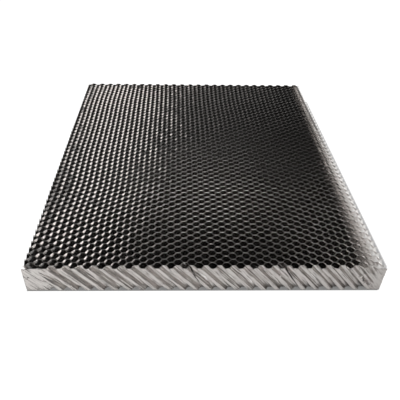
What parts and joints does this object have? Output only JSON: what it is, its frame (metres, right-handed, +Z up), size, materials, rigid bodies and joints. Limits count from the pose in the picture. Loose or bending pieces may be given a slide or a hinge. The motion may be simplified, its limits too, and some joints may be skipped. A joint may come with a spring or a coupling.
{
  "type": "aluminium honeycomb core panel",
  "caption": "Open rectangular slab of aluminium honeycomb: corrugated foil ribbons bonded side by side into rows of leaning hexagonal cells, used as a light, stiff core.",
  "frame": {"origin": "middle of the bottom face, on the plane that the slab lies on", "axes": "+Z up through the thickness; X along the ribbons, with the cells' tops leaning towards -X; +Y from the front ribbon to the back one"},
  "size_m": [0.212, 0.2534, 0.0184],
  "materials": {
    "foil": "rolled foil, satin, lightly creased"
  },
  "bodies": {
    "root": {"ribbon_pair_01": "foil", "ribbon_pair_02": "foil", "ribbon_pair_03": "foil", "ribbon_pair_04": "foil", "ribbon_pair_05": "foil", "ribbon_pair_06": "foil", "ribbon_pair_07": "foil", "ribbon_pair_08": "foil", "ribbon_pair_09": "foil", "ribbon_pair_10": "foil", "ribbon_pair_11": "foil", "ribbon_pair_12": "foil", "ribbon_pair_13": "foil", "ribbon_pair_14": "foil", "ribbon_pair_15": "foil", "ribbon_pair_16": "foil", "ribbon_pair_17": "foil", "ribbon_pair_18": "foil", "ribbon_pair_19": "foil", "ribbon_pair_20": "foil", "ribbon_pair_21": "foil", "ribbon_pair_22": "foil", "ribbon_pair_23": "foil", "ribbon_pair_24": "foil", "ribbon_pair_25": "foil", "ribbon_pair_26": "foil", "ribbon_pair_27": "foil", "ribbon_pair_28": "foil", "ribbon_pair_29": "foil", "ribbon_pair_30": "foil", "ribbon_pair_31": "foil", "ribbon_pair_32": "foil", "ribbon_pair_33": "foil", "ribbon_pair_34": "foil", "ribbon_pair_35": "foil", "ribbon_pair_36": "foil", "ribbon_pair_37": "foil", "ribbon_pair_38": "foil", "ribbon_pair_39": "foil"}
  },
  "joints": []
}
